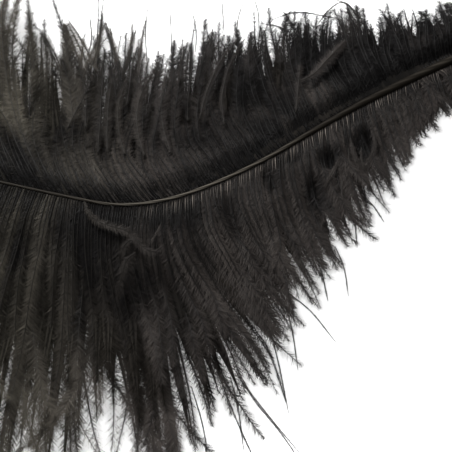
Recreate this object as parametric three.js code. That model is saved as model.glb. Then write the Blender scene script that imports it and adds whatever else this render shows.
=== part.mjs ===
// A black ostrich plume lying on a level surface with its dorsal side up.
// Millimetres, +Z up. The quill points to +X and the tip to -X. The origin is under
// the middle of the plume, on the surface that it lies on.
//
// The shaft is arched: its quill end and its tip are low, and it is held up between
// them by the two vanes. Each vane slopes down from the shaft like one side of a tent,
// and its outer part lies flat. A vane is a soft sheet of barbs, given here as one
// closed sheet that reaches the tips of the barbs.
import * as THREE from "three";

// ---- shaft ----
// Centre line from the quill end to the tip.
const shaftPoints = [
  [204.7, 97.8, 1.3],
  [165.2, 72.8, 14],
  [120.8, 43.3, 20.1],
  [97.1, 26.6, 21.5],
  [75.1, 10, 22.8],
  [55.4, -1.9, 23.6],
  [39.1, -8.4, 23.7],
  [23.1, -10.5, 23.9],
  [6.2, -7.5, 24],
  [-30.8, 3.3, 22.5],
  [-70.8, 18.3, 18],
  [-110.8, 35.3, 11],
  [-143.8, 50.3, 5],
];
// [distance from the quill end, half of the shaft's width there]
const shaftHalfWidths = [
  [0, 1.1],
  [3, 1.9],
  [10, 2.3],
  [42, 2.1],
  [100, 1.5],
  [148, 0.95],
  [190, 0.75],
  [232, 0.6],
  [300, 0.42],
  [388, 0.16],
];
const shaftSides = 12;
const shaftRings = 56;

// ---- vanes ----
const bareQuill = 42; // length of the quill that carries no barbs
const tipMargin = 2.5; // the last barbs leave the shaft this far before its end
const sideGap = 0.3; // clearance between a vane and the shaft
const flatFrom = 0.66; // the part of a long barb past which it lies on the surface
const longBarb = 96; // a barb of this length comes all the way down to the surface
// [distance from the quill end, barb length, plan heading at 0, 15, 40 and 100 % of it]
// Headings are degrees anticlockwise from +X, seen from above.
const leftBarbs = [
  [42, 12, 272, 274, 278, 282],
  [70, 19, 270, 273, 278, 284],
  [100, 26, 268, 272, 278, 285],
  [120, 38, 268, 272, 280, 290],
  [137, 48, 268, 272, 284, 291],
  [159, 53, 268, 272, 285, 292],
  [170, 58, 268, 272, 290, 298],
  [181, 66, 268, 274, 302, 306],
  [191, 80, 268, 277, 308, 300],
  [199, 98, 266, 276, 296, 286],
  [206, 108, 265, 270, 281, 279],
  [232, 110, 260, 261, 266, 271],
  [270, 104, 250, 250, 254, 262],
  [310, 94, 238, 240, 245, 250],
  [350, 84, 214, 216, 222, 227],
  [378, 75, 180, 184, 191, 196],
  [392, 66, 159, 160, 161, 162],
];
const rightBarbs = [
  [42, 14, 122, 116, 108, 100],
  [70, 24, 122, 114, 104, 92],
  [100, 41, 122, 112, 100, 86],
  [120, 52, 122, 112, 100, 86],
  [137, 63, 124, 112, 98, 86],
  [159, 77, 126, 114, 100, 88],
  [181, 90, 128, 116, 98, 84],
  [200, 99, 128, 116, 96, 82],
  [211, 104, 128, 116, 94, 84],
  [232, 110, 126, 116, 100, 93],
  [270, 108.8, 118, 112, 104, 98],
  [310, 106.5, 120, 114, 108, 102],
  [350, 92, 128, 122, 117, 112],
  [378, 75, 142, 139, 135, 131],
  [392, 66, 152, 151, 150, 150],
];
const headingPlaces = [0, 0.15, 0.4, 1];
// [part of the barb's length, thickness of the vane there]
const vaneThickness = [
  [0, 2.4],
  [0.2, 3.8],
  [0.7, 3.6],
  [1, 1.6],
];
const vaneColumns = 48;
const vaneRows = 14;

const up = new THREE.Vector3(0, 0, 1);

const shaftCurve = new THREE.CatmullRomCurve3(
  shaftPoints.map(([x, y, z]) => new THREE.Vector3(x, y, z)),
  false,
  "catmullrom",
  0.5,
);
shaftCurve.arcLengthDivisions = 1200;
const shaftLength = shaftCurve.getLength();

// Straight-line interpolation between the rows of a table, by its first column.
function rowAt(table, place) {
  const last = table.length - 1;
  if (place <= table[0][0]) return table[0];
  if (place >= table[last][0]) return table[last];
  const next = table.findIndex((row) => row[0] > place);
  const [before, after] = [table[next - 1], table[next]];
  const share = (place - before[0]) / (after[0] - before[0]);
  return before.map((value, column) => THREE.MathUtils.lerp(value, after[column], share));
}

// Point on the shaft's centre line, with the directions along it, across it to the
// plume's left, and out of its back.
function shaftFrame(distance) {
  const part = THREE.MathUtils.clamp(distance / shaftLength, 0, 1);
  const along = shaftCurve.getTangentAt(part);
  const left = new THREE.Vector3().crossVectors(up, along).normalize();
  const back = new THREE.Vector3().crossVectors(along, left);
  return { point: shaftCurve.getPointAt(part), along, left, back };
}

// Moves every vertex of a geometry, and shades it afresh.
function reshape(geometry, move) {
  const positions = geometry.attributes.position;
  const vertex = new THREE.Vector3();
  for (let i = 0; i < positions.count; i += 1) {
    vertex.fromBufferAttribute(positions, i);
    const moved = move(vertex);
    positions.setXYZ(i, moved.x, moved.y, moved.z);
  }
  geometry.computeVertexNormals();
  return geometry;
}

// The quill and rachis: a turned spindle, bent along the centre line.
function shaftGeometry() {
  const profile = [new THREE.Vector2(0, 0)];
  for (let ring = 0; ring < shaftRings; ring += 1) {
    const share = ring / (shaftRings - 1);
    const distance = shaftLength * (share * 0.7 + share * share * 0.3);
    profile.push(new THREE.Vector2(rowAt(shaftHalfWidths, distance)[1], distance));
  }
  profile.push(new THREE.Vector2(0, shaftLength + rowAt(shaftHalfWidths, shaftLength)[1]));
  const spindle = new THREE.LatheGeometry(profile, shaftSides);
  return reshape(spindle, ({ x, y, z }) => {
    const frame = shaftFrame(y);
    const beyond = Math.max(y - shaftLength, 0);
    return frame.point
      .addScaledVector(frame.left, -x)
      .addScaledVector(frame.back, z)
      .addScaledVector(frame.along, beyond);
  });
}

// The path of one barb: the underside of the vane from the shaft to the barb's tip.
// side is 1 for the left vane and -1 for the right one.
function barbPath(barbs, side, distance) {
  const [, length, ...headings] = rowAt(barbs, distance);
  const places = headingPlaces.map((place, i) => [place, headings[i]]);
  const { point, left } = shaftFrame(distance);
  const reach = rowAt(shaftHalfWidths, distance)[1] + sideGap;
  const start = point.clone().addScaledVector(left, side * reach);
  const rootHeight = Math.max(point.z - vaneThickness[0][1] / 2, 0);
  const fall = rootHeight * Math.min(length / longBarb, 1) ** 1.5;
  const step = length / vaneRows;
  const path = [start.clone().setZ(rootHeight)];
  for (let row = 1; row <= vaneRows; row += 1) {
    const before = path[row - 1];
    const heading = THREE.MathUtils.degToRad(rowAt(places, (row - 0.5) / vaneRows)[1]);
    const eased = THREE.MathUtils.smoothstep(row / vaneRows, 0, flatFrom);
    const height = rootHeight - fall * eased;
    const level = Math.sqrt(Math.max(step ** 2 - (height - before.z) ** 2, 0));
    path.push(
      new THREE.Vector3(
        before.x + level * Math.cos(heading),
        before.y + level * Math.sin(heading),
        height,
      ),
    );
  }
  return path;
}

// One vane: a grid of barb paths, given its thickness.
function vaneGeometry(barbs, side) {
  const lastBarb = shaftLength - tipMargin;
  const paths = [];
  for (let column = 0; column <= vaneColumns; column += 1) {
    const distance = THREE.MathUtils.lerp(bareQuill, lastBarb, column / vaneColumns);
    paths.push(barbPath(barbs, side, distance));
  }
  const block = new THREE.BoxGeometry(1, 1, 1, vaneColumns, vaneRows, 1);
  return reshape(block, ({ x, y, z }) => {
    const column = Math.round((x + 0.5) * vaneColumns);
    const outward = side > 0 ? y + 0.5 : 0.5 - y;
    const row = Math.round(outward * vaneRows);
    const thickness = rowAt(vaneThickness, row / vaneRows)[1];
    return paths[column][row].clone().addScaledVector(up, (z + 0.5) * thickness);
  });
}

function sheetMaterial(color) {
  return new THREE.MeshStandardMaterial({ color, roughness: 0.85, metalness: 0 });
}

function named(name, geometry, material) {
  const mesh = new THREE.Mesh(geometry, material);
  mesh.name = name;
  return mesh;
}

const keratin = new THREE.MeshStandardMaterial({
  color: 0x3a342a,
  roughness: 0.4,
  metalness: 0,
});

const plume = new THREE.Group();
plume.add(
  named("shaft", shaftGeometry(), keratin),
  named("left_vane", vaneGeometry(leftBarbs, 1), sheetMaterial(0x24211f)),
  named("right_vane", vaneGeometry(rightBarbs, -1), sheetMaterial(0x201e1c)),
);

export default plume;
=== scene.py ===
import math

import bpy
import numpy as np
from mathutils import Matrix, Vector


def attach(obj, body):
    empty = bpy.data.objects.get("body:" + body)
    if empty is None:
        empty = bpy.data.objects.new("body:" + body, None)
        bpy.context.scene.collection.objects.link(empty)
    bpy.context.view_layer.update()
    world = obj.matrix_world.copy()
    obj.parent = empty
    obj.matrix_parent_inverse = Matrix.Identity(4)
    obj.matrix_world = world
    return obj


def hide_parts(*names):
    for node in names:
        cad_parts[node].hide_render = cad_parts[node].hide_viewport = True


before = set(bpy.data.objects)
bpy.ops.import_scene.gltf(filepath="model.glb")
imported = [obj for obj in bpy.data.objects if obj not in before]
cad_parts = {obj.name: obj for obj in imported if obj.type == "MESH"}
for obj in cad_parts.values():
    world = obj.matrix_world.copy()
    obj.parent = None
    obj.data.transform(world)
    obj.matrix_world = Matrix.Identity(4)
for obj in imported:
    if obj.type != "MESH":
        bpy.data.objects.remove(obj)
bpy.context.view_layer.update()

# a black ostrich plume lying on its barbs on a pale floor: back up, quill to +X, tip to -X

mm = 0.001  # every length below is in millimetres until it reaches a mesh


def tableAt(table, place, column=1):
    # straight-line interpolation between the rows of a table, by its first column
    rows = np.array(table, float)
    return np.interp(place, rows[:, 0], rows[:, column])


def ease(x):
    x = np.clip(x, 0, 1)
    return x * x * (3 - 2 * x)


def unit(v):
    return v / np.maximum(np.linalg.norm(v, axis=-1, keepdims=True), 1e-12)


def bump(x, middle, width):
    return np.exp(-(((x - middle) / width) ** 2))


def smoothLine(points, steps=40):
    # a smooth curve through the points
    p = np.array(points, float)
    p = np.vstack([2 * p[0] - p[1], p, 2 * p[-1] - p[-2]])
    t = (np.arange(steps) / steps)[:, None]
    spans = []
    for a, b, c, d in zip(p, p[1:], p[2:], p[3:]):
        bend = (2 * a - 5 * b + 4 * c - d) * t**2 + (3 * b - a - 3 * c + d) * t**3
        spans.append(0.5 * (2 * b + (c - a) * t + bend))
    return np.vstack(spans + [p[-2:-1]])


def runAlong(line):
    steps = np.linalg.norm(np.diff(line, axis=0), axis=1)
    return np.concatenate([[0], np.cumsum(steps)])


def wander(count, smoothness, seed):
    # smooth random numbers of about unit size, one per barb
    own = np.random.default_rng(seed)
    raw = own.normal(size=count + 8 * smoothness)
    kernel = np.hanning(4 * smoothness + 1)
    flat = np.convolve(raw, kernel / np.sqrt((kernel**2).sum()), "same")
    return flat[4 * smoothness:4 * smoothness + count]


def groupsOf(count, smallest, largest, seed):
    # a group number for each barb: neighbours share one
    own = np.random.default_rng(seed)
    sizes = own.integers(smallest, largest + 1, count)
    return np.repeat(np.arange(count), sizes)[:count]


def meanByGroup(values, group):
    total = np.zeros((group.max() + 1,) + values.shape[1:])
    np.add.at(total, group, values)
    size = np.bincount(group).reshape((-1,) + (1,) * (values.ndim - 1))
    return (total / np.maximum(size, 1))[group]


def linear(hexColour):
    channels = [int(hexColour[i:i + 2], 16) / 255 for i in (1, 3, 5)]
    return [c / 12.92 if c <= 0.04045 else ((c + 0.055) / 1.055) ** 2.4 for c in channels] + [1]


def node(material, kind, settings=None, links=None):
    # adds a node, sets its properties and sockets, and links its inputs
    made = material.node_tree.nodes.new(kind)
    for key, value in (settings or {}).items():
        if isinstance(key, str) and hasattr(made, key):
            setattr(made, key, value)
        else:
            made.inputs[key].default_value = value
    for key, source in (links or {}).items():
        material.node_tree.links.new(source, made.inputs[key])
    return made


def newMaterial(name):
    material = bpy.data.materials.new(name)
    material.use_nodes = True
    material.node_tree.nodes.clear()
    return material


# colours: along the barb, out along its barbules, and the same towards the tip
barbuleLooks = {
    # loose melanin-black keratin threads: dull, warm grey where they spread in the light
    "barbuleDown": {"colours": ("#0d0b0b", "#433e3b", "#4b473f"),
                    "roughness": 0.6, "ior": 1.5, "gloss": 0.12},
    # the same threads packed beside the barb: they shade each other and look deeper
    "barbuleWeb": {"colours": ("#0a0909", "#373330", "#3e3b34"),
                   "roughness": 0.7, "ior": 1.45, "gloss": 0.06},
    # barbs on the shaded underside: nearly black, with no gloss to give them away
    "lowerDown": {"colours": ("#0a0908", "#2f2b27", "#37342d"),
                  "roughness": 0.75, "ior": 1.45, "gloss": 0.05},
}
ramusColours = {"root": "#080706", "farOut": "#25231f", "glint": "#8f867d"}
# the back colour is a painted highlight along the top of the shaft
shaftColours = {"flank": "#16130f", "back": "#5a554d"}


def plumeColour(m, dark, pale, tipPale):
    # dark along the barb, partly the barbules' own darker roots and partly painted shade of the gaps
    # between the barbs, and paler out along its barbules; each barb in its own tone, which also
    # carries painted shade and painted light, with slanting streaks where barbules lie together and a
    # more olive hue towards the tip
    tone, across, run, soft = (
        node(m, "ShaderNodeAttribute", {"attribute_name": name}).outputs["Fac"]
        for name in ("tone", "across", "run", "soft"))
    # painted shade near the barb: a quarter of the tone at the barb, the full tone 0.6 of the way out
    out = node(m, "ShaderNodeMapRange", {"From Min": 0.0, "From Max": 0.6, "To Min": 0.25},
               {"Value": across})
    # the streaks are about 0.6 mm apart along the barb, a little coarser than real barbules
    slant = node(m, "ShaderNodeMath", {"operation": "MULTIPLY_ADD", 1: -4.0}, {0: across, 2: run})
    own = node(m, "ShaderNodeMath", {"operation": "MULTIPLY_ADD", 1: 40.0},
               {0: tone, 2: slant.outputs[0]})
    streaks = node(m, "ShaderNodeTexNoise",
                   {"noise_dimensions": "1D", "Scale": 1.6, "Detail": 3.0, "Roughness": 0.7},
                   {"W": own.outputs[0]})
    streak = node(m, "ShaderNodeMapRange",
                  {"From Min": 0.3, "From Max": 0.7, "To Min": 0.45, "To Max": 1.5},
                  {"Value": streaks.outputs[0]})
    out = node(m, "ShaderNodeMath", {"operation": "MULTIPLY"},
               {0: out.outputs[0], 1: streak.outputs[0]})
    # far out on the plume both fade into one soft tone
    fade = node(m, "ShaderNodeMath", {"operation": "MULTIPLY", 1: 0.85}, {0: soft})
    out = node(m, "ShaderNodeMix", {"data_type": "FLOAT", 3: 0.75},
               {0: fade.outputs[0], 2: out.outputs[0]})
    amount = node(m, "ShaderNodeMath", {"operation": "MULTIPLY"}, {0: tone, 1: out.outputs[0]})
    place = node(m, "ShaderNodeTexCoord")
    x = node(m, "ShaderNodeSeparateXYZ", {}, {0: place.outputs["Object"]})
    toTip = node(m, "ShaderNodeMapRange", {"From Min": 0.035, "From Max": -0.015},
                 {"Value": x.outputs["X"]})
    hue = node(m, "ShaderNodeMix", {"data_type": "RGBA", 6: linear(pale), 7: linear(tipPale)},
               {0: toTip.outputs[0]})
    # tones over 1 are barbules that catch the light, so the factor isn't clamped
    mix = node(m, "ShaderNodeMix", {"data_type": "RGBA", "clamp_factor": False, 6: linear(dark)},
               {0: amount.outputs[0], 7: hue.outputs[2]})
    return mix.outputs[2]


def barbuleMaterial(name, look):
    m = newMaterial(name)
    colour = plumeColour(m, *look["colours"])
    shader = node(m, "ShaderNodeBsdfPrincipled",
                  {"Roughness": look["roughness"], "IOR": look["ior"],
                   "Specular IOR Level": look["gloss"]}, {"Base Color": colour})
    node(m, "ShaderNodeOutputMaterial", links={"Surface": shader.outputs[0]})
    return m


def ramusMaterial():
    # the barbs' own thin shafts: the blackest line in each barb, softer far out, with a painted
    # highlight a few millimetres from the root where it stands up into the light
    m = newMaterial("ramusKeratin")
    # on the rami the tone mark holds the strength of the painted highlight
    tone, run, soft = (
        node(m, "ShaderNodeAttribute", {"attribute_name": name}).outputs["Fac"]
        for name in ("tone", "run", "soft"))
    mix = node(m, "ShaderNodeMix", {"data_type": "RGBA", 6: linear(ramusColours["root"]),
                                    7: linear(ramusColours["farOut"])}, {0: soft})
    rise = node(m, "ShaderNodeMapRange", {"From Min": 0.6, "From Max": 2.0}, {"Value": run})
    fall = node(m, "ShaderNodeMapRange", {"From Min": 7.5, "From Max": 3.0}, {"Value": run})
    paintedGlint = node(m, "ShaderNodeMath", {"operation": "MULTIPLY"},
                  {0: rise.outputs[0], 1: fall.outputs[0]})
    paintedGlint = node(m, "ShaderNodeMath", {"operation": "MULTIPLY"},
                  {0: paintedGlint.outputs[0], 1: tone})
    mix = node(m, "ShaderNodeMix", {"data_type": "RGBA", 7: linear(ramusColours["glint"])},
               {0: paintedGlint.outputs[0], 6: mix.outputs[2]})
    shader = node(m, "ShaderNodeBsdfPrincipled",
                  {"Roughness": 0.5, "IOR": 1.5, "Specular IOR Level": 0.2},
                  {"Base Color": mix.outputs[2]})
    node(m, "ShaderNodeOutputMaterial", links={"Surface": shader.outputs[0]})
    return m


def shaftMaterial():
    # smooth keratin, dark on its flanks, with a painted highlight along its back in slanting ridges
    # left by the roots of the barbs, where they catch the light
    m = newMaterial("shaftKeratin")
    sideways, distance, back, glow = (
        node(m, "ShaderNodeAttribute", {"attribute_name": name}).outputs["Fac"]
        for name in ("sideways", "distance", "back", "glow"))
    # a ridge every 9 mm is 700 radians to the metre, nearly along the shaft
    lean = node(m, "ShaderNodeMath", {"operation": "MULTIPLY", 1: 6.0}, {0: sideways})
    slant = node(m, "ShaderNodeMath", {"operation": "MULTIPLY_ADD", 1: 700.0},
                 {0: distance, 2: lean.outputs[0]})
    wave = node(m, "ShaderNodeMath", {"operation": "SINE"}, {0: slant.outputs[0]})
    ridges = node(m, "ShaderNodeMapRange", {"From Min": -0.5, "From Max": 0.7, "To Min": 0.2},
                  {"Value": wave.outputs[0]})
    top = node(m, "ShaderNodeMapRange", {}, {"Value": back})
    amount = node(m, "ShaderNodeMath", {"operation": "MULTIPLY"},
                  {0: ridges.outputs[0], 1: top.outputs[0]})
    amount = node(m, "ShaderNodeMath", {"operation": "MULTIPLY"}, {0: amount.outputs[0], 1: glow})
    mix = node(m, "ShaderNodeMix", {"data_type": "RGBA", 6: linear(shaftColours["flank"]),
                                    7: linear(shaftColours["back"])}, {0: amount.outputs[0]})
    # a fine grain along the keratin, about 0.3 mm across
    place = node(m, "ShaderNodeTexCoord")
    grain = node(m, "ShaderNodeTexNoise", {"Scale": 3300.0, "Detail": 2.0},
                 {"Vector": place.outputs["Object"]})
    relief = node(m, "ShaderNodeBump", {"Strength": 0.25, "Distance": 0.0001},
                  {"Height": grain.outputs[0]})
    shader = node(m, "ShaderNodeBsdfPrincipled",
                  {"Roughness": 0.5, "IOR": 1.5, "Specular IOR Level": 0.05},
                  {"Base Color": mix.outputs[2], "Normal": relief.outputs[0]})
    node(m, "ShaderNodeOutputMaterial", links={"Surface": shader.outputs[0]})
    return m


down, web, lowerDown = (barbuleMaterial(name, look) for name, look in barbuleLooks.items())
ramus = ramusMaterial()
keratin = shaftMaterial()
plumeMaterials = [ramus, web, down, lowerDown]
ramusSlot, webSlot, downSlot, lowerSlot = range(4)
print("materials made")


shaftLook = {
    # centre line, quill end to tip
    "points": [
        (204.7, 97.8, 1.3), (165.2, 72.8, 14), (120.8, 43.3, 20.1), (97.1, 26.6, 21.5),
        (75.1, 10, 22.8), (55.4, -1.9, 23.6), (39.1, -8.4, 23.7), (23.1, -10.5, 23.9),
        (6.2, -7.5, 24), (-30.8, 3.3, 22.5), (-70.8, 18.3, 18), (-110.8, 35.3, 11),
        (-143.8, 50.3, 5),
    ],
    # distance from the quill end, half width there
    "halfWidths": [
        (0, 1.1), (3, 1.9), (10, 2.3), (42, 2.1), (100, 1.5), (148, 0.95), (190, 0.75),
        (232, 0.6), (300, 0.42), (388, 0.16),
    ],
    # distance, how far up the flank the painted highlight along the back begins and is full
    "back": [(0, 0.7, 0.95), (120, 0.8, 0.97), (165, 0.6, 0.9), (220, 0.35, 0.8), (392, 0.3, 0.8)],
    # distance, how bright the painted highlight along the back is
    "glow": [
        (0, 0.5), (60, 0.25), (95, 0.1), (135, 0.12), (150, 0.5), (180, 1.0), (205, 1.0),
        (214, 0.75), (225, 0.4), (240, 0.2), (392, 0.25),
    ],
    "sides": 16,
    "rings": 300,
    "endLength": 0.6,   # how far the rounded ends stand out
    "belly": 0.75,      # the underside is this much flatter than the back
}
shaftLine = smoothLine(shaftLook["points"])
shaftRun = runAlong(shaftLine)
shaftLength = shaftRun[-1]


def onShaft(distance):
    return np.stack([np.interp(distance, shaftRun, shaftLine[:, k]) for k in range(3)], -1)


def acrossShaft(distance):
    # unit directions along the shaft, to its left, and out of its back
    distance = np.clip(distance, 0.5, shaftLength - 0.5)
    along = unit(onShaft(distance + 0.5) - onShaft(distance - 0.5))
    left = unit(np.cross((0, 0, 1), along))
    return along, left, np.cross(along, left)


def addMark(mesh, name, values):
    # a number for each point of the mesh, for the materials to read
    attribute = mesh.attributes.new(name, "FLOAT", "POINT")
    attribute.data.foreach_set("value", np.ascontiguousarray(values, dtype=np.float32))


def makeShaft(look):
    # a flat grid rolled up into a closed spindle along the centre line
    bpy.ops.object.select_all(action="DESELECT")
    bpy.ops.mesh.primitive_grid_add(x_subdivisions=look["sides"], y_subdivisions=look["rings"],
                                    size=1, location=(0, 0, 0))
    piece = bpy.context.object
    piece.name = "shaft_rachis"
    mesh = piece.data
    flat = np.zeros(len(mesh.vertices) * 3, np.float32)
    mesh.vertices.foreach_get("co", flat)
    flat = flat.reshape(-1, 3).astype(float) + 0.5
    turn = np.round(flat[:, 0] * look["sides"]) / look["sides"] * 2 * np.pi
    row = np.round(flat[:, 1] * look["rings"])
    # the first and last rows close the ends, each in one point
    distance = np.clip((row - 1) / (look["rings"] - 2), 0, 1) * shaftLength
    end = (row == look["rings"]) * 1.0 - (row == 0)
    along, left, back = acrossShaft(distance)
    half = tableAt(look["halfWidths"], distance) * (end == 0)
    high = np.sin(turn) * np.where(np.sin(turn) < 0, look["belly"], 1.0)
    ring = np.cos(turn)[:, None] * left + high[:, None] * back
    points = onShaft(distance) + half[:, None] * ring + (end * look["endLength"])[:, None] * along
    mesh.vertices.foreach_set("co", (points * mm).astype(np.float32).ravel())
    # marks for the painted highlight along the back of the shaft and its slanting ridges
    begin, full = tableAt(look["back"], distance), tableAt(look["back"], distance, 2)
    addMark(mesh, "back", (np.sin(turn) - begin) / (full - begin))
    addMark(mesh, "glow", tableAt(look["glow"], distance))
    addMark(mesh, "sideways", np.cos(turn))
    addMark(mesh, "distance", distance * mm)
    bpy.ops.object.mode_set(mode="EDIT")
    bpy.ops.mesh.select_all(action="SELECT")
    bpy.ops.mesh.remove_doubles(threshold=1e-6)
    bpy.ops.mesh.normals_make_consistent(inside=False)
    bpy.ops.object.mode_set(mode="OBJECT")
    mesh.uv_layers[0].name = "OFBake"
    mesh.materials.append(keratin)
    mesh.shade_smooth()
    return piece


shaft = makeShaft(shaftLook)
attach(shaft, "root")
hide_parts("shaft")
shaft.data.calc_loop_triangles()
triangles = len(shaft.data.loop_triangles)
print("shaft made:", triangles, "triangles,", round(shaftLength, 1), "mm long")


leftVane = {
    "side": 1,              # 1 for the left of the shaft, looking from the quill to the tip
    "seed": 100,
    "crest": 1.2,           # how far the barbs rise beside the shaft
    "dip": -0.4,            # how far they sink right at it
    "fullness": 1.05,       # longest barbs against the lengths below
    # distance along the shaft, barb length, plan heading at 0, 15, 40 and 100 % of it
    "barbs": [
        (42, 12, 272, 274, 278, 282), (70, 19, 270, 273, 278, 284),
        (100, 31, 268, 272, 278, 285), (120, 42, 268, 272, 280, 290),
        (137, 50, 268, 272, 284, 291), (159, 55, 268, 272, 285, 292),
        (170, 58, 268, 272, 290, 298), (181, 65, 268, 274, 302, 306),
        (191, 73, 268, 277, 308, 300), (199, 84, 266, 276, 296, 286),
        (206, 96, 265, 270, 281, 279), (232, 110, 260, 261, 266, 271),
        (270, 104, 250, 250, 254, 262), (310, 94, 238, 240, 245, 250),
        (350, 84, 214, 216, 222, 227), (378, 75, 180, 184, 191, 196),
        (392, 66, 159, 160, 161, 162),
    ],
    # distance along the shaft, spacing of the barbs against the usual
    "closer": [(178, 1.0), (187, 0.7), (206, 0.7), (214, 1.0)],
    # tone by distance along the shaft, and towards the ends of the barbs there
    "tone": [(100, 0.25), (175, 0.24), (205, 0.22), (225, 0.18), (392, 0.12)],
    "endTone": [(160, 0.15), (215, 0.25), (235, 0.65), (392, 0.65)],
    # painted shade by distance out from the shaft, darkest at the roots of the barbs beside it
    "shaftShade": [(0, -0.4), (6, -0.25), (16, 0)],
    # distance along the shaft, how brightly the roots of the barbs catch the light
    "glints": [(80, 0.5), (120, 1.0), (185, 0.9), (200, 0.45), (212, 0)],
    # distance along the shaft, how loose and fluffy the barbs are, how much their lines fade,
    # and how cloudy their tones are
    "loose": [(42, 0.2), (180, 0.4), (205, 0.5), (225, 1.0)],
    "soft": [(200, 0.1), (225, 1.0), (392, 1.0)],
    "cloud": [(200, 0.08), (230, 0.25), (392, 0.3)],
    # places that lie deeper or have another tone, painted shade where it is darker and painted light
    # where it is paler: x, y, half width, half length, turn in degrees, how far sunken, change of tone
    "patches": [
        (112.5, 19, 3.4, 6.5, 0, 3, -1.2), (99.4, 11.3, 4.4, 5, -30, 2.6, -1.1),
        (93.9, -3.1, 3.6, 8.5, 5, 3, -1.1), (76.8, 0.6, 2.6, 6, 10, 2, -0.8),
        (85.4, 11, 2.6, 2.4, 0, 1, -0.8), (63.5, -14.5, 3, 9.5, 12, 2.4, -0.7),
        (45.5, -50, 2.6, 17, 8, 3, -0.6), (76, -38, 2.2, 12, 25, 2, -0.4),
        (43, -15, 14, 6, 0, 0, -0.5), (14, -21, 18, 9, 0, 0.6, -0.75),
        (-12, -26, 8, 7, 0, 2, -0.5), (18, -38, 17, 11, -15, 0.3, -0.45),
        (0, -50, 3, 10, -6, 2, -0.4), (20, -88, 34, 26, 0, 0, 0.8),
        (68, -34, 16, 14, 0, 0, 0.4),
    ],
}
rightVane = {
    "side": -1,
    "seed": 200,
    "crest": 3.0,
    "dip": 1.2,
    "fullness": 1.02,
    "barbs": [
        (42, 14, 122, 116, 108, 100), (70, 24, 122, 114, 104, 92),
        (100, 41, 122, 112, 100, 86), (120, 52, 122, 112, 100, 86),
        (137, 63, 124, 112, 98, 86), (159, 77, 126, 114, 100, 88),
        (181, 87, 128, 116, 98, 84), (189, 73, 128, 116, 97, 83),
        (197, 72, 128, 116, 96, 82), (206, 101, 128, 116, 95, 83),
        (211, 105, 128, 116, 94, 84), (232, 110, 126, 116, 100, 93),
        (270, 108.8, 118, 112, 104, 98), (310, 106.5, 120, 114, 108, 102),
        (350, 92, 128, 122, 117, 112), (378, 75, 142, 139, 135, 131),
        (392, 66, 152, 151, 150, 150),
    ],
    "closer": [(0, 1.0)],
    # the dark tones near the quill end of this vane, along the barbs and towards their ends, are
    # painted shade
    "tone": [(90, -0.5), (140, -0.4), (165, -0.12), (190, 0.02), (392, 0.0)],
    "endTone": [(90, -0.2), (150, -0.1), (200, 0.0), (230, 0.35), (392, 0.4)],
    # painted shade by distance out from the shaft, as on the other vane
    "shaftShade": [(0, -0.65), (4, -0.5), (9, 0.05), (392, 0.05)],
    "glints": [(0, 0.0)],
    "loose": [(42, 0.2), (180, 0.3), (240, 0.8), (392, 1.0)],
    "soft": [(200, 0.1), (240, 0.7), (392, 0.9)],
    "cloud": [(42, 0.1), (215, 0.12), (240, 0.25), (392, 0.3)],
    # sunken pockets with painted shade, and paler places with painted light, as on the other vane
    "patches": [
        (72, 44, 5, 9, 10, 2, -0.5), (95, 62, 5, 10, 0, 2, -0.4),
        (112, 60, 22, 13, 0, 1, -0.7), (96.5, 40, 5.5, 9, 25, 0, 1),
        (84, 36, 5, 8, 20, 0, -0.4), (112, 45, 6, 8, 20, 0, -0.4),
        (75.5, 24, 4, 5, 20, 1.5, -0.45), (84.5, 25, 2.4, 5, 20, 0, 0.8),
        (20, 34, 2.5, 9, 5, 2, -0.4),
        (-30, 48, 3, 10, 10, 2, -0.4), (8, 84, 16, 13, 0, 0, 0.6),
        (15, 108, 26, 11, 0, 0, 1.5), (48, 20, 4, 6, 20, 1.5, -0.35),
    ],
}
headingPlaces = (0, 0.15, 0.4, 1)

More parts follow.
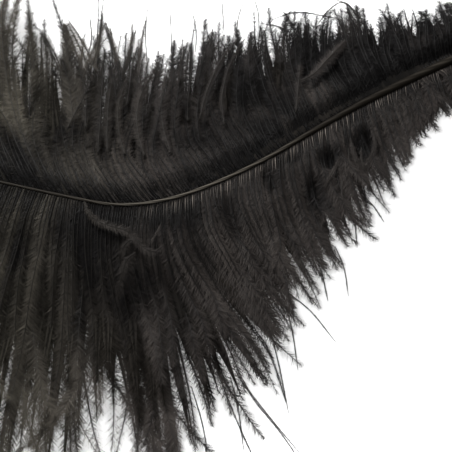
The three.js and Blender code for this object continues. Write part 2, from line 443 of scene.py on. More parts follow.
barbLook = {
    "firstBarb": 42.0,      # bare quill before the first barb
    "tipMargin": 2.5,       # shaft left bare past the last barb
    # distance along the shaft, distance between the barbs
    "spacing": [(42, 1.15), (100, 1.05), (232, 1.0), (270, 1.1), (392, 1.2)],
    "points": 20,           # along each barb
    "flatFrom": 0.66,       # a long barb lies on the floor past this part of it
    "longBarb": 96.0,       # one this long comes all the way down
    "restHeight": 1.6,      # of the middle of a barb that lies on the floor
    "lock": (3, 7),         # barbs that cling together
    "tuft": (9, 18),        # barbs that lean the same way
    "lockPull": 0.45,       # how close the barbs of one lock come together
    "tuftPull": 0.08,       # and those of one tuft
    "under": 0.45,          # share of the barbs that lie below the locks, each on its own
    # distance along the shaft, how much the barbs' directions vary
    "unrest": [(42, 1.4), (120, 0.9), (170, 0.8), (205, 0.8), (225, 2.0), (392, 2.4)],
    "lean": (0.9, 1.3, 1.2),    # degrees that a tuft, a lock and a single barb lean
    "endTurn": (5, 10),         # degrees that the ends of a lock and of a single barb turn
    "astray": (0.12, 20),       # share of the barbs whose ends turn further, and by how much
    "uneven": 0.03,             # how much the lengths differ within a vane
    "shorter": 0.4,             # how much shorter the shortest barbs are
    "hairs": 0.1,               # share of the barbs that reach past the others
    "hairReach": (1.05, 1.2),
    "height": (1.0, 3.0, 7),    # of the single barbs, the locks and the highest barb
    "tone": (0.5, 0.17, 0.13, 0.1),     # middle tone, and how much locks, barbs and tufts differ
    # painted shade: the barbs below the locks are darkened as if shaded by them
    "underShade": 0.12,          # how much darker the barbs below the locks are
    "roll": 0.12,               # how far the barbules of a barb are turned to one side
    "rootOverlap": 0.8,         # the barbs start this far out in the shaft's half width
    "crestRun": 11,             # distance from the shaft at which they are at their crest
    # the barb's own thickness: part of the barb, half width
    "ramus": [(0, 0.17), (0.1, 0.14), (0.6, 0.12), (1, 0.06)],
    # the inner part of its barbules, drawn as a sheet: part of the barb, half width
    "web": [(0, 0.9), (0.06, 1.3), (0.2, 1.7), (0.45, 1.4), (0.65, 0.6), (0.9, 0.2), (1, 0.05)],
    "slim": 0.45,           # how much narrower it is where the vane is soft, past this part
    "slimFrom": 0.0,
    "droops": 26,
}
lowerLook = {
    "spacing": 1.5,
    "points": 12,
    "shorter": (0.62, 1),   # their length against the upper barbs
    "lean": 2.5,            # degrees
    "below": 0.8,           # how far they lie below the vane's slope, and again further out
    "tone": (0.3, 0.6),
    "patched": 0.4,         # how much of the vane's changes of tone they take
    "web": [(0, 2.2), (0.1, 2.2), (0.3, 2.6), (0.55, 2.7), (0.75, 1.9), (0.88, 0.6), (1, 0.05)],
    "slim": 0.55,
    "slimFrom": 0.35,
    "droops": 0,
}
downLook = {
    "part": (0, 1),         # where along the barb its barbules are
    # distance along the shaft, barbules on each side of a millimetre of barb
    "perMm": [(42, 8.5), (100, 9.0), (240, 9.0), (300, 7.6), (392, 7.0)],
    "width": 0.19,          # at their roots
    # part of the barb, their length there, and by what share it varies
    "length": [(0, 0.8), (0.05, 1.6), (0.15, 2.3), (0.5, 3.0), (0.85, 3.6), (0.95, 3.0), (1, 1.5)],
    "varies": (0.55, 1.25),
    "longer": 0.6,          # how much longer they are where the vane is soft
    # degrees from the barb and below it, by part of the barb
    "leaves": [(0, 50), (0.5, 50), (0.8, 42), (1, 28)],
    "droops": [(0.5, 26), (0.8, 5)],
    "stray": (0.18, 0.16),  # radians by which single ones differ in both
    "shade": 0.26,          # how much their tones differ
}
lowerDownLook = dict(
    downLook, part=(0.35, 1), perMm=[(0, 4.0)], width=0.28, shade=0.12,
    droops=[(0.5, 18), (0.85, 10)],
    length=[(0, 3.0), (0.6, 4.4), (0.85, 3.6), (1, 1.8)])


# columns of a vane's patches
depthColumn, shadeAndLightColumn = 5, 6


def patched(vane, points, column):
    # the sum of what the vane's patches do at each point
    total = np.zeros(points.shape[:-1])
    for row in vane["patches"]:
        x, y, wide, long, turn = row[:5]
        c, s = math.cos(math.radians(turn)), math.sin(math.radians(turn))
        dx, dy = points[..., 0] - x, points[..., 1] - y
        reach = ((dx * c + dy * s) / wide) ** 2 + ((dy * c - dx * s) / long) ** 2
        total += row[column] * np.exp(-reach**2)
    return total


def rootsOf(vane, spacing, power):
    # where the barbs leave the shaft
    places = [barbLook["firstBarb"]]
    while places[-1] < shaftLength - barbLook["tipMargin"]:
        step = tableAt(spacing, places[-1]) * tableAt(vane["closer"], places[-1]) ** power
        places.append(places[-1] + step)
    return np.array(places[:-1])


def headingsOf(vane, base, mid):
    given = np.stack([tableAt(vane["barbs"], base, 2 + k) for k in range(4)], 1)
    return np.stack([np.interp(mid, headingPlaces, row) for row in given])


def layOut(vane, base, length, heading, t):
    # lays barbs of these lengths along these headings, sloping down from the shaft
    left = acrossShaft(base)[1]
    half = tableAt(shaftLook["halfWidths"], base)
    root = onShaft(base) + left * (vane["side"] * half * barbLook["rootOverlap"])[:, None]
    fall = np.maximum(root[:, 2] - barbLook["restHeight"], 0)
    fall = fall * np.minimum(length / barbLook["longBarb"], 1) ** 1.5
    z = root[:, 2:] - fall[:, None] * ease(t / barbLook["flatFrom"])[None]
    step = (length / (len(t) - 1))[:, None]
    rise = np.diff(z, axis=1)
    level = np.sqrt(np.maximum(step**2 - rise**2, 0.04 * step**2))
    paths = np.zeros((len(base), len(t), 3))
    paths[:, 0] = root
    paths[:, 1:, 0] = root[:, :1] + np.cumsum(level * np.cos(np.radians(heading)), 1)
    paths[:, 1:, 1] = root[:, 1:2] + np.cumsum(level * np.sin(np.radians(heading)), 1)
    paths[:, :, 2] = z
    return paths


def upperBarbs(vane):
    # the barbs that show: in locks that cling together, with single ones below and between
    look, seed = barbLook, vane["seed"]
    own = np.random.default_rng(seed)
    base = rootsOf(vane, look["spacing"], 1)
    count = len(base)
    base = base + own.uniform(-0.3, 0.3, count)
    under = own.random(count) < look["under"]
    alone = count + np.arange(count)
    lock = np.where(under, alone, groupsOf(count, *look["lock"], seed + 1))
    tuft = np.where(under, alone, groupsOf(count, *look["tuft"], seed + 2))
    lock = np.unique(lock, return_inverse=True)[1]
    tuft = np.unique(tuft, return_inverse=True)[1]
    perLock = own.normal(size=count)[lock]
    perTuft = own.normal(size=count)[tuft]
    lone = own.normal(size=count)

    uneven = look["uneven"]
    reach = vane["fullness"] + uneven * perLock + uneven * lone + uneven * wander(count, 4, seed + 3)
    reach = reach * (1 - look["shorter"] * own.random(count) ** 2)
    hair = own.random(count) < look["hairs"]
    reach[hair] = own.uniform(*look["hairReach"], hair.sum())
    length = tableAt(vane["barbs"], base) * np.minimum(reach, look["hairReach"][1])

    t = np.linspace(0, 1, look["points"] + 1)
    mid = (t[1:] + t[:-1]) / 2
    soft = tableAt(vane["soft"], base)
    unrest = tableAt(look["unrest"], base)
    loosen = 1 - 0.7 * soft
    tuftLean, lockLean, loneLean = look["lean"]
    swing = tuftLean * loosen * perTuft + lockLean * loosen * perLock
    swing = (swing + (loneLean + loneLean * soft) * lone) * unrest
    # neighbours bend alike in slow curves, and each barb has a little wave of its own
    sway = wander(count, 10, seed + 11)[:, None] * np.sin(mid * 4.4)[None]
    sway = sway + wander(count, 7, seed + 12)[:, None] * np.sin(mid * 7 + 1)[None]
    lockTurn, loneTurn = look["endTurn"]
    endTurn = lockTurn * loosen * own.normal(size=count)[lock] + loneTurn * own.normal(size=count)
    endTurn = endTurn * unrest
    astrayShare, astrayTurn = look["astray"]
    astray = own.random(count) < astrayShare
    endTurn[astray] += astrayTurn * own.normal(size=astray.sum()) * unrest[astray]
    phase = own.uniform(0, 2 * np.pi, (2, count, 1))
    wave = np.sin(2 * np.pi * 1.3 * mid + phase[0]) + np.sin(2 * np.pi * 2.9 * mid + phase[1])
    heading = headingsOf(vane, base, mid) + swing[:, None] * ease(mid * 1.6)[None]
    heading = heading + 2.6 * unrest[:, None] * sway + endTurn[:, None] * (mid**2)[None] + 1.6 * wave

    paths = layOut(vane, base, length, heading, t)
    # how high the barbs lie over one another
    calm = 1 - 0.45 * soft
    low, middle, high = look["height"]
    layer = middle + calm * (1.3 * perLock + 0.4 * lone + 1.0 * perTuft)
    layer = np.where(under, low + 0.5 * lone + 1.2 * (1 - calm), np.clip(layer, low, high))
    run = t[None] * length[:, None]
    crestRun = look["crestRun"]
    paths[..., 2] += layer[:, None] * ease(t * 2.2)[None] + vane["crest"] * ease(run / crestRun)
    paths[..., 2] -= vane["dip"] * bump(run, 2.6, 2.0)
    gather = look["lockPull"] * ease(t * 2.6) * (1 - 0.75 * ease((t - 0.45) * 2.2))
    paths += (meanByGroup(paths, lock) - paths) * (gather[None] * loosen[:, None])[..., None]
    gather = look["tuftPull"] * ease((t - 0.2) * 1.4)
    paths += (meanByGroup(paths, tuft) - paths) * (gather[None] * loosen[:, None])[..., None]
    paths[..., 2] -= patched(vane, paths, depthColumn)

    middleTone, lockTone, loneTone, tuftTone = look["tone"]
    tone = middleTone + lockTone * perLock + loneTone * lone + tuftTone * perTuft
    # painted shade on the barbs below the locks
    tone = tone - look["underShade"] * under
    swell = np.stack([wander(count, smooth, seed + 20 + smooth) for smooth in (3, 4, 5, 6)], 1)
    return {
        "base": base, "length": length, "paths": paths, "under": under * 1.0,
        "roll": look["roll"] + look["roll"] * own.normal(size=count),
        "reach": np.ones(count), "soft": soft,
        "loose": tableAt(vane["loose"], base),
        "tone": np.clip(tone + tableAt(vane["tone"], base), 0, 1),
        "glint": tableAt(vane["glints"], base) * 1.2 * own.random(count) ** 2,
        "swell": swell * tableAt(vane["cloud"], base)[:, None],
    }


def lowerBarbs(vane):
    # wide dark barbs under the others, evenly laid, so the floor doesn't show near the shaft
    own = np.random.default_rng(vane["seed"] + 50)
    look = lowerLook
    base = rootsOf(vane, [(0, look["spacing"])], 2)
    count = len(base)
    base = base + own.uniform(-0.3, 0.3, count)
    t = np.linspace(0, 1, look["points"] + 1)
    mid = (t[1:] + t[:-1]) / 2
    length = tableAt(vane["barbs"], base) * own.uniform(*look["shorter"], count)
    lean = own.normal(0, look["lean"], (count, 1))
    heading = headingsOf(vane, base, mid) + lean * ease(mid * 2)[None]
    paths = layOut(vane, base, length, heading, t)
    crest = vane["crest"] * ease(t[None] * length[:, None] / barbLook["crestRun"])
    paths[..., 2] += crest - look["below"] - look["below"] * ease(t * 4)[None]
    none = np.zeros(count)
    return {
        "base": base, "length": length, "paths": paths, "under": none, "roll": none,
        "reach": none + 1, "soft": none, "loose": tableAt(vane["loose"], base),
        "tone": own.uniform(*look["tone"], count), "glint": none, "swell": np.zeros((count, 4)),
    }


def chosen(barbs, mask):
    return {key: values[mask] for key, values in barbs.items()}


# a mesh of many barbs is joined from parts, each a dictionary of arrays; every kind of part
# has its own band of the texture
uvBands = {"ramus": (0, 0.1), "web": (0.1, 0.4), "down": (0.4, 0.8), "lowerWeb": (0.8, 0.9),
           "lowerDown": (0.9, 1)}
floorGap = 0.05  # nothing comes nearer to the floor


def barbFrames(paths):
    # along each barb, sideways in the vane, and up out of it
    along = unit(np.gradient(paths, axis=1))
    up = unit(np.array((0, 0, 1.0)) - along[..., 2:] * along)
    return along, np.cross(up, along), up


def partOf(barbs, slot, band, points, faces, spread, barb, across, t, shade):
    low, high = uvBands[band]
    count = len(barbs["base"])
    u = low + (high - low) * (barb + spread) / count
    return {"slot": slot, "points": points, "faces": faces, "barb": barb, "across": across, "t": t,
            "shade": shade, "uv": np.stack([u, np.clip(t, 0, 1)], -1)}


def rami(barbs):
    # each barb's own thin shaft: a tapering tube of three sides, closed at both ends
    paths = barbs["paths"]
    count, rings, _ = paths.shape
    _, side, up = barbFrames(paths)
    t = np.linspace(0, 1, rings)
    radius = tableAt(barbLook["ramus"], t)[None, :, None]
    corners = []
    for angle in (90, 210, 330):
        a = math.radians(angle)
        corners.append(paths + 0.12 * up + radius * (math.cos(a) * side + math.sin(a) * up))
    start = np.arange(count) * rings * 3
    end = start + (rings - 1) * 3
    ring = (start[:, None] + np.arange(rings - 1)[None] * 3).ravel()
    faces = [np.stack([start, start + 2, start + 1], 1), np.stack([end, end + 1, end + 2], 1)]
    for k in range(3):
        a, b = ring + k, ring + (k + 1) % 3
        faces += [np.stack([a, b, b + 3], 1), np.stack([a, b + 3, a + 3], 1)]
    number = count * rings
    return partOf(barbs, ramusSlot, "ramus", np.stack(corners, 2).reshape(-1, 3), np.vstack(faces),
                  np.tile((0.5, 0.2, 0.8), number), np.repeat(np.arange(count), rings * 3),
                  np.zeros(number * 3), np.tile(np.repeat(t, 3), count), np.zeros(number * 3))


def webs(barbs, look, slot, band):
    # barbules so close together that they read as a sheet: a ribbon bent along its middle
    paths = barbs["paths"]
    count, rings, _ = paths.shape
    _, side, up = barbFrames(paths)
    t = np.linspace(0, 1, rings)
    slimmer = 1 - look["slim"] * barbs["loose"][:, None] * ease((t - look["slimFrom"]) * 4)[None]
    half = (tableAt(look["web"], t)[None] * slimmer * barbs["reach"][:, None])[..., None]
    points = [paths - 0.1 * up]
    for way in (-1, 1):
        down = (math.radians(look["droops"]) + way * barbs["roll"])[:, None, None]
        points.append(paths + half * (way * side * np.cos(down) - up * np.sin(down)))
    ring = (np.arange(count)[:, None] * rings * 3 + np.arange(rings - 1)[None] * 3).ravel()
    right, left = ring + 1, ring + 2
    faces = [
        np.stack([ring, right, right + 3], 1), np.stack([ring, right + 3, ring + 3], 1),
        np.stack([ring, left + 3, left], 1), np.stack([ring, ring + 3, left + 3], 1),
    ]
    number = count * rings
    return partOf(barbs, slot, band, np.stack(points, 2).reshape(-1, 3), np.vstack(faces),
                  np.tile((0.5, 0.05, 0.95), number), np.repeat(np.arange(count), rings * 3),
                  np.tile((0, 0.6, 0.6), number), np.tile(np.repeat(t, 3), count),
                  np.zeros(number * 3))


def barbules(barbs, look, slot, band, seed):
    # the soft down on both sides of each barb: thousands of fine slivers with pointed ends
    own = np.random.default_rng(seed)
    paths = barbs["paths"]
    count, rings, _ = paths.shape
    frames = barbFrames(paths)
    low, high = look["part"]
    leaveStray, droopStray = look["stray"]
    dense = tableAt(look["perMm"], barbs["base"]) * (1 - 0.5 * barbs["under"])
    number = np.maximum((barbs["length"] * (high - low) * dense).astype(int), 1)
    barb = np.repeat(np.arange(count), number)
    total = len(barb)
    order = np.arange(total) - np.repeat(np.cumsum(number) - number, number)
    made = []
    for way in (-1, 1):
        t = low + (high - low) * (order + own.random(total)) / number[barb]
        spot = np.clip(t * (rings - 1), 0, rings - 1.001)
        ring = spot.astype(int)
        share = (spot - ring)[:, None]
        at, forward, side, up = (
            values[barb, ring] * (1 - share) + values[barb, ring + 1] * share
            for values in (paths, *frames))
        size = tableAt(look["length"], t) * own.uniform(*look["varies"], total)
        size = size * (barbs["reach"] * (1 + look["longer"] * barbs["loose"]))[barb]
        leave = (np.radians(tableAt(look["leaves"], t)) + own.normal(0, leaveStray, total))[:, None]
        droop = np.radians(tableAt(look["droops"], t)) + own.normal(0, droopStray, total)
        droop += way * barbs["roll"][barb]
        out = way * side * np.cos(droop)[:, None] - up * np.sin(droop)[:, None]
        tip = at + (forward * np.cos(leave) + out * np.sin(leave)) * size[:, None]
        lift = up * (own.normal(0, 0.25, total) * look["width"])[:, None]
        half = forward * (own.uniform(0.35, 0.65, total) * look["width"])[:, None] + lift
        corners = np.stack([at - half, at + half, tip], 1)
        faces = np.arange(total)[:, None] * 3 + np.array((0, 1, 2) if way < 0 else (0, 2, 1))
        made.append(partOf(
            barbs, slot, band, corners.reshape(-1, 3), faces,
            np.tile(0.5 + way * np.array((0.02, 0.02, 0.48)), total), np.repeat(barb, 3),
            np.tile((0, 0, 1), total), np.repeat(t, 3),
            np.repeat(own.normal(0, look["shade"], total), 3)))
    return made


def vaneMarks(vane, barbs, part):
    # tone, lie and softness of every point of a part
    barb, t, lower = part["barb"], part["t"], part["slot"] == lowerSlot
    run = t * barbs["length"][barb]
    base = barbs["base"][barb]
    # painted shade beside the shaft, then the tone towards the ends of the barbs
    change = tableAt(vane["shaftShade"], run) + tableAt(vane["endTone"], base) * ease((t - 0.25) * 1.6)
    waves = (np.sin(5 * t + 1), np.cos(5 * t), np.sin(11 * t), np.cos(11 * t + 2))
    change = change + sum(barbs["swell"][barb, k] * wave for k, wave in enumerate(waves))
    # painted shade in the sunken pockets and painted light in the paler patches
    change = change + patched(vane, part["points"], shadeAndLightColumn)
    change = change * (lowerLook["patched"] if lower else 1)
    tone = np.clip(barbs["tone"][barb] + part["shade"] + change, 0, 2)
    # the rami carry the strength of their painted highlight in the tone mark
    return {"across": part["across"], "run": run, "soft": barbs["soft"][barb] * ease(run / 25),
            "tone": barbs["glint"][barb] if part["slot"] == ramusSlot else tone}


def meshFrom(name, parts, marks):
    # one mesh from the arrays of all the parts
    start = np.cumsum([0] + [len(part["points"]) for part in parts])
    points = np.vstack([part["points"] for part in parts])
    faces = np.vstack([part["faces"] + first for part, first in zip(parts, start)])
    uv = np.vstack([part["uv"] for part in parts])[faces.ravel()]
    slots = np.repeat([part["slot"] for part in parts], [len(part["faces"]) for part in parts])
    points[:, 2] = np.maximum(points[:, 2], floorGap)
    mesh = bpy.data.meshes.new(name)
    mesh.vertices.add(len(points))
    mesh.vertices.foreach_set("co", (points * mm).astype(np.float32).ravel())
    mesh.loops.add(faces.size)
    mesh.loops.foreach_set("vertex_index", faces.astype(np.int32).ravel())
    mesh.polygons.add(len(faces))
    mesh.polygons.foreach_set("loop_start", np.arange(0, faces.size, 3, dtype=np.int32))
    mesh.polygons.foreach_set("material_index", slots.astype(np.int32))
    mesh.uv_layers.new(name="OFBake")
    mesh.uv_layers[0].uv.foreach_set("vector", uv.astype(np.float32).ravel())
    for key in marks[0]:
        addMark(mesh, key, np.concatenate([each[key] for each in marks]))
    mesh.update(calc_edges=True)
    for material in plumeMaterials:
        mesh.materials.append(material)
    piece = bpy.data.objects.new(name, mesh)
    bpy.context.scene.collection.objects.link(piece)
    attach(piece, "root")
    return piece


# each vane is in four pieces along the shaft, by distance from the quill end
sections = {"quill": (0, 170), "middle": (170, 222), "outer": (222, 285), "tip": (285, 500)}
for vaneName, vane in (("left", leftVane), ("right", rightVane)):
    upper, lower = upperBarbs(vane), lowerBarbs(vane)
    for section, (low, high) in sections.items():
        shown = chosen(upper, (upper["base"] >= low) & (upper["base"] < high))
        hidden = chosen(lower, (lower["base"] >= low) & (lower["base"] < high))
        seed = vane["seed"] + len(section)
        top = [rami(shown), webs(shown, barbLook, webSlot, "web")]
        top += barbules(shown, downLook, downSlot, "down", seed)
        below = [webs(hidden, lowerLook, lowerSlot, "lowerWeb")]
        below += barbules(hidden, lowerDownLook, lowerSlot, "lowerDown", seed + 30)
        marks = [vaneMarks(vane, shown, part) for part in top]
        marks += [vaneMarks(vane, hidden, part) for part in below]
        piece = meshFrom(f"{vaneName}_barbs_{section}", top + below, marks)
        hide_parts(f"{vaneName}_vane")
        triangles += len(piece.data.polygons)
        print(piece.name, "made:", len(shown["base"]), "barbs,", len(piece.data.polygons), "triangles")


# single barbs that lie across the vanes or stand out of them
looseLook = {
    "points": 24,
    "perMm": 14.0,
    "width": 0.14,
    "length": [(0, 0.6), (0.2, 2.6), (0.8, 2.8), (1, 1.2)],  # by part of the barb, times its reach
    "droops": 16,
    "web": [(0, 0.1), (0.2, 0.55), (0.8, 0.4), (1, 0.05)],
    "slim": 0.4,
    "slimFrom": 0.0,
    "webFrom": 0.6,         # barbs with less reach than this have no web
    "soft": 0.9,
    "seed": 400,
    # fine ends that stand out past the far edge of the right vane, from one height to another,
    # with a painted highlight
    "wisps": {"count": 10, "seed": 77, "x": (0, 27), "y": (52, 64), "length": (34, 44),
              "height": (11, 3), "reach": 0.85, "tone": 1.8},
}
# reach of the barbules, tone (over 1 a painted highlight), points along the barb
looseBarbs = [
    (1.4, 1.0, [(89.5, 46, 24.6), (92.5, 46.8, 25.6), (96, 50, 25.6), (99.6, 55.5, 24.8),
                (103.8, 62, 23.4), (107.9, 68.5, 21.6)]),
    (0.8, 0.7, [(87.3, 30.8, 24.6), (88.5, 42.1, 23.5), (89.9, 56, 21), (91.5, 67.5, 18)]),
    (0.7, 0.6, [(51.4, 29, 23), (53.5, 41, 22), (57.3, 55.1, 20), (62, 68, 17), (66.8, 75.9, 15.5)]),
    (0.65, 0.5, [(60.5, 24.8, 25), (59.7, 39.5, 22), (62, 56, 19), (65.6, 67, 17),
                (68.8, 75.2, 15.7)]),
    (0.35, 0.4, [(97.5, 78, 20.5), (103, 91, 15), (109, 99, 11), (112.2, 92, 15), (114.5, 80, 19)]),
    (0.3, 0.4, [(104.5, 106, 6), (110.5, 98, 11), (114.5, 86, 17), (117, 76, 20)]),
    (0.4, 0.4, [(79.9, 87.9, 12.3), (87, 90, 14), (93.6, 87.5, 17), (100.5, 83, 20),
                (106.7, 79, 22.5)]),
    (0.5, 0.4, [(75.7, 84, 14.4), (82, 82, 15), (87.5, 76.5, 16.1), (90.4, 69.5, 17.6)]),
    (0.7, 0.1, [(84.5, 93, 12), (86.5, 87, 14), (88.2, 78, 18)]),
    (1.1, 0.5, [(17.6, 14, 22.5), (16.8, 26, 21), (16.3, 40, 18), (16.5, 58, 12)]),
    (1.4, 0.35, [(13.8, 15, 20.5), (13.5, 26, 17.5), (13, 45, 14.5), (12.6, 64, 12.5),
                 (12.4, 74, 10)]),
    (1.2, 0.35, [(8, 30, 16), (7.2, 44, 14), (6.8, 56, 12.5), (6.5, 66, 11)]),
    (1.6, 0.25, [(46.6, 32, 17.5), (46.5, 42, 15.5), (47.2, 55, 13), (47.6, 66, 11), (47.3, 76, 9)]),
    (1.2, 0.3, [(28.6, 28, 17.5), (28.8, 38, 15.5), (29.6, 51, 13.5), (30.4, 60, 12)]),
    (1.3, 0.35, [(23, 42, 15), (23.6, 54, 13), (24.2, 66, 11), (25.4, 76, 9)]),
    (1.1, 0.9, [(31.3, 11, 24.2), (27.8, 28, 20), (28.4, 42, 19.4), (33.5, 60, 15.6)]),
    (1.1, 0.8, [(41, 12, 24.8), (37.5, 28, 20.2), (36.7, 42, 20.2), (38.5, 58, 16.4)]),
    (1.0, 0.85, [(24, 12, 23.9), (20.8, 28, 16.6), (19.8, 41, 15), (22.5, 57, 13.6)]),
    (0.25, 0.2, [(60, 78.1, 14.8), (60, 92, 9), (59.5, 105, 6)]),
    (0.4, 0.3, [(16.5, 63.9, 13.2), (14.4, 79, 8), (10.6, 93, 5)]),
    (0.3, 0.3, [(5, 70.1, 8.3), (6.2, 83, 6), (4.5, 98, 5)]),
    # the curled barb below the shaft, with its side curls
    (1.1, 0.75, [(10.9, -10.5, 26.2), (12.5, -15, 26.5), (15.4, -18.3, 26), (20.5, -20.8, 26),
                 (25.5, -22.4, 26), (29.1, -25.2, 25.6), (33, -29.4, 25), (36.2, -31, 25),
                 (39.3, -28.6, 25.2)]),
    (0.8, 0.55, [(31.2, -26.6, 25.2), (28.5, -26, 25.3), (26, -27.6, 24.6), (24.7, -30.5, 24)]),
    (0.9, 0.5, [(29.9, -30.7, 24.6), (26.8, -33.5, 23.6), (24.9, -39.4, 21.6), (23.9, -45.3, 18)]),
    (0.2, 2.4, [(38.7, -19.6, 26.6), (37.4, -23.1, 26.4), (34.7, -27.8, 25.6)]),
    (0.45, 1.4, [(104.4, 15.7, 23.3), (103.3, 12, 23), (100.2, 5.4, 22.6), (96.7, -0.6, 21.4)]),
    (0.3, 1.0, [(102.4, 9.1, 21.6), (103.2, 2, 21), (102.9, -8.1, 20.8)]),
    (0.3, 0.9, [(106.2, 15.7, 22.6), (106.4, 4.8, 21.6), (106.8, -8.4, 21)]),
    # the loop round the dark hollow at the right
    (0.7, 1.0, [(107.1, 19.7, 23.4), (107.7, 15.7, 23), (109.2, 9.5, 22.2), (112.4, 5.5, 20.6),
                (114.4, 1.7, 20)]),
    (0.5, 0.9, [(114.8, 26.1, 24.5), (116.2, 21.4, 23), (116, 16.3, 22), (113.6, 11, 21),
                (111.7, 7.3, 21.2)]),
    (0.3, 1.0, [(111.1, 16.1, 22), (110.8, 11.4, 21.8), (111.7, 7.4, 21.2)]),
    # single hairs over the edge of the left vane
    (0.25, 0.2, [(73.8, -34.5, 18), (80.9, -40, 15), (90.3, -46, 11), (99.4, -56, 6)]),
    (0.25, 0.2, [(64.6, -69, 12.8), (69.3, -76, 8), (77.7, -86.4, 5), (86.5, -97, 3)]),
    (0.25, 0.2, [(62.6, -70.8, 9), (65.2, -82, 8), (67.2, -96.1, 4)]),
    (0.5, 0.3, [(71.2, -54.9, 13), (75.5, -61, 11), (79.1, -70, 7), (81.6, -77.9, 4)]),
    (0.3, 0.3, [(109.6, -3.5, 20.3), (114.4, -5, 16), (118.8, -10, 12)]),
    (0.3, 0.3, [(105.1, -8.4, 21), (107.1, -14.5, 19), (107.8, -24, 17)]),
    (0.3, 0.3, [(93.3, -31.9, 20), (95, -36, 17), (96.9, -43, 12)]),
    (0.25, 0.2, [(75.6, -52, 13), (79.2, -64.5, 7), (82.4, -82, 4)]),
    (0.25, 0.2, [(64, -68, 9), (71.3, -79, 6), (79, -89, 5), (88.5, -103, 3)]),
    (0.25, 0.2, [(61, -76, 8), (65.5, -87, 5), (73, -104, 3)]),
    (0.25, 0.2, [(49.5, -74, 8), (53.6, -88, 5), (55.9, -104, 3)]),
    (0.25, 0.2, [(81, -44, 15), (84.2, -53, 9), (86, -66.6, 5)]),
    (0.25, 0.2, [(99.8, -24, 18), (103, -31, 14), (104.4, -40, 10)]),
    # single hairs over the edge of the right vane
    (0.2, 0.2, [(9, 78, 9), (8.4, 94, 7), (7.4, 112, 5)]),
    (0.2, 0.2, [(29.5, 68, 10), (28.4, 86, 8), (28.8, 104, 6)]),
    (0.2, 0.2, [(39.8, 66, 11), (39, 82, 9), (37.8, 101, 6)]),
    (0.2, 0.2, [(49, 72, 11), (49, 86, 8), (47, 100, 6)]),
    (0.2, 0.2, [(65.4, 78, 14), (66.4, 92, 10), (69, 104, 7)]),
    (0.2, 0.2, [(74.5, 82, 14), (74.3, 95, 10), (72, 108, 7)]),
]


def wispBarbs(look):
    # barbs with random places and leans, in the form of the list above
    own = np.random.default_rng(look["seed"])
    high, low = look["height"]
    made = []
    for _ in range(look["count"]):
        x, y, size = (own.uniform(*look[key]) for key in ("x", "y", "length"))
        lean, sway = own.normal(0, 0.2), own.normal(0, 2.5)
        line = [(x + lean * size * k + sway * k * k, y + size * k, high - (high - low) * k)
                for k in (0, 0.35, 0.7, 1)]
        made.append((look["reach"], look["tone"], line))
    return made


def looseStrands(given, look):
    # barbs of even points along the given ones
    paths, lengths = [], []
    for _, _, control in given:
        line = smoothLine(control, 24)
        run = runAlong(line)
        places = np.linspace(0, run[-1], look["points"] + 1)
        paths.append(np.stack([np.interp(places, run, line[:, k]) for k in range(3)], -1))
        lengths.append(run[-1])
    none = np.zeros(len(given))
    return {"base": none, "length": np.array(lengths), "paths": np.stack(paths), "under": none,
            "roll": none, "reach": np.array([reach for reach, _, _ in given]), "loose": none + 1,
            "soft": none + look["soft"], "tone": np.array([tone for _, tone, _ in given])}


def looseMarks(barbs, part):
    barb = part["barb"]
    return {"across": part["across"], "run": part["t"] * barbs["length"][barb],
            "soft": barbs["soft"][barb],
            "tone": np.clip(barbs["tone"][barb] + part["shade"], 0, 3) * (part["slot"] != ramusSlot)}


loose = looseStrands(looseBarbs + wispBarbs(looseLook["wisps"]), looseLook)
full = chosen(loose, loose["reach"] > looseLook["webFrom"])
looseDown = dict(downLook, longer=0, perMm=[(0, looseLook["perMm"])], width=looseLook["width"],
                 droops=[(0, looseLook["droops"])], length=looseLook["length"])
parts = [rami(loose)] + barbules(loose, looseDown, downSlot, "down", looseLook["seed"])
marks = [looseMarks(loose, part) for part in parts]
sheet = webs(full, looseLook, webSlot, "web")
piece = meshFrom("loose_barbs", parts + [sheet], marks + [looseMarks(full, sheet)])
triangles += len(piece.data.polygons)
print("loose barbs made:", len(piece.data.polygons), "triangles;", triangles, "in the whole plume")


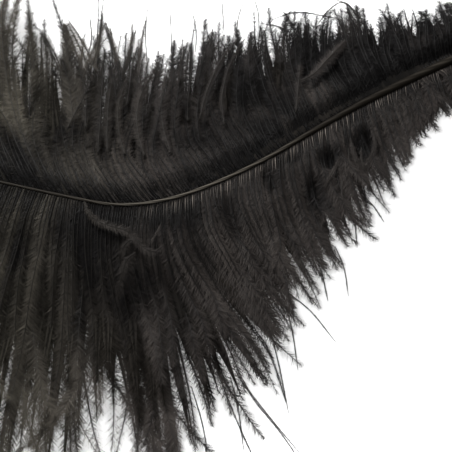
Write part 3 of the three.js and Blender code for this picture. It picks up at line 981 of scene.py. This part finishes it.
view = {
    "azimuth": 0.0,         # degrees: 0 looks along +Y
    "elevation": 57.0,
    "distance": 452.8,
    "lens": 100.0,
    "sensor": 36.0,
    "target": (61.2, -13.7, 15.0),
}
floorLook = {"size": 6.0, "below": 0.2, "colour": "#f3f3f3", "roughness": 0.9, "glow": 0.85}
lights = {
    # place and size in metres, power in watts
    "key": {"place": (-0.35, 0.75, 1.0), "size": 0.45, "power": 26},
    "fill": {"place": (0.3, -1.1, 1.0), "size": 0.8, "power": 4},
}
lightTarget = (0.06, -0.01, 0)
worldLight = 0.25


def makeCamera(look):
    tilt, turn = math.radians(look["elevation"]), math.radians(look["azimuth"])
    level = math.cos(tilt)
    away = Vector((math.sin(turn) * level, -math.cos(turn) * level, math.sin(tilt)))
    bpy.ops.object.camera_add(location=(Vector(look["target"]) + away * look["distance"]) * mm,
                              rotation=(math.pi / 2 - tilt, 0, turn))
    camera = bpy.context.object
    camera.data.lens = look["lens"]
    camera.data.sensor_width = look["sensor"]
    camera.data.clip_start = 0.01
    bpy.context.scene.camera = camera


def makeFloor(look):
    # matt white studio card, lit so evenly that it has hardly any shadow
    bpy.ops.object.select_all(action="DESELECT")
    bpy.ops.mesh.primitive_plane_add(size=look["size"], location=(0, 0, -look["below"] * mm))
    floor = bpy.context.object
    floor.name = "floor"
    card = newMaterial("studioCard")
    shader = node(card, "ShaderNodeBsdfPrincipled",
                  {"Base Color": linear(look["colour"]), "Roughness": look["roughness"],
                   "Emission Color": (1, 1, 1, 1), "Emission Strength": look["glow"]})
    node(card, "ShaderNodeOutputMaterial", links={"Surface": shader.outputs[0]})
    floor.data.materials.append(card)


def makeLight(name, look):
    toward = Vector(lightTarget) - Vector(look["place"])
    bpy.ops.object.light_add(type="AREA", location=look["place"],
                             rotation=toward.to_track_quat("-Z", "Y").to_euler())
    lamp = bpy.context.object
    lamp.name = name
    lamp.data.size = look["size"]
    lamp.data.energy = look["power"]


makeCamera(view)
makeFloor(floorLook)
for name, look in lights.items():
    makeLight(name, look)
world = bpy.data.worlds.new("studio")
bpy.context.scene.world = world
world.use_nodes = True
world.node_tree.nodes["Background"].inputs["Color"].default_value = (1, 1, 1, 1)
world.node_tree.nodes["Background"].inputs["Strength"].default_value = worldLight
bpy.context.scene.view_settings.view_transform = "Standard"
print("camera, floor and lights made")
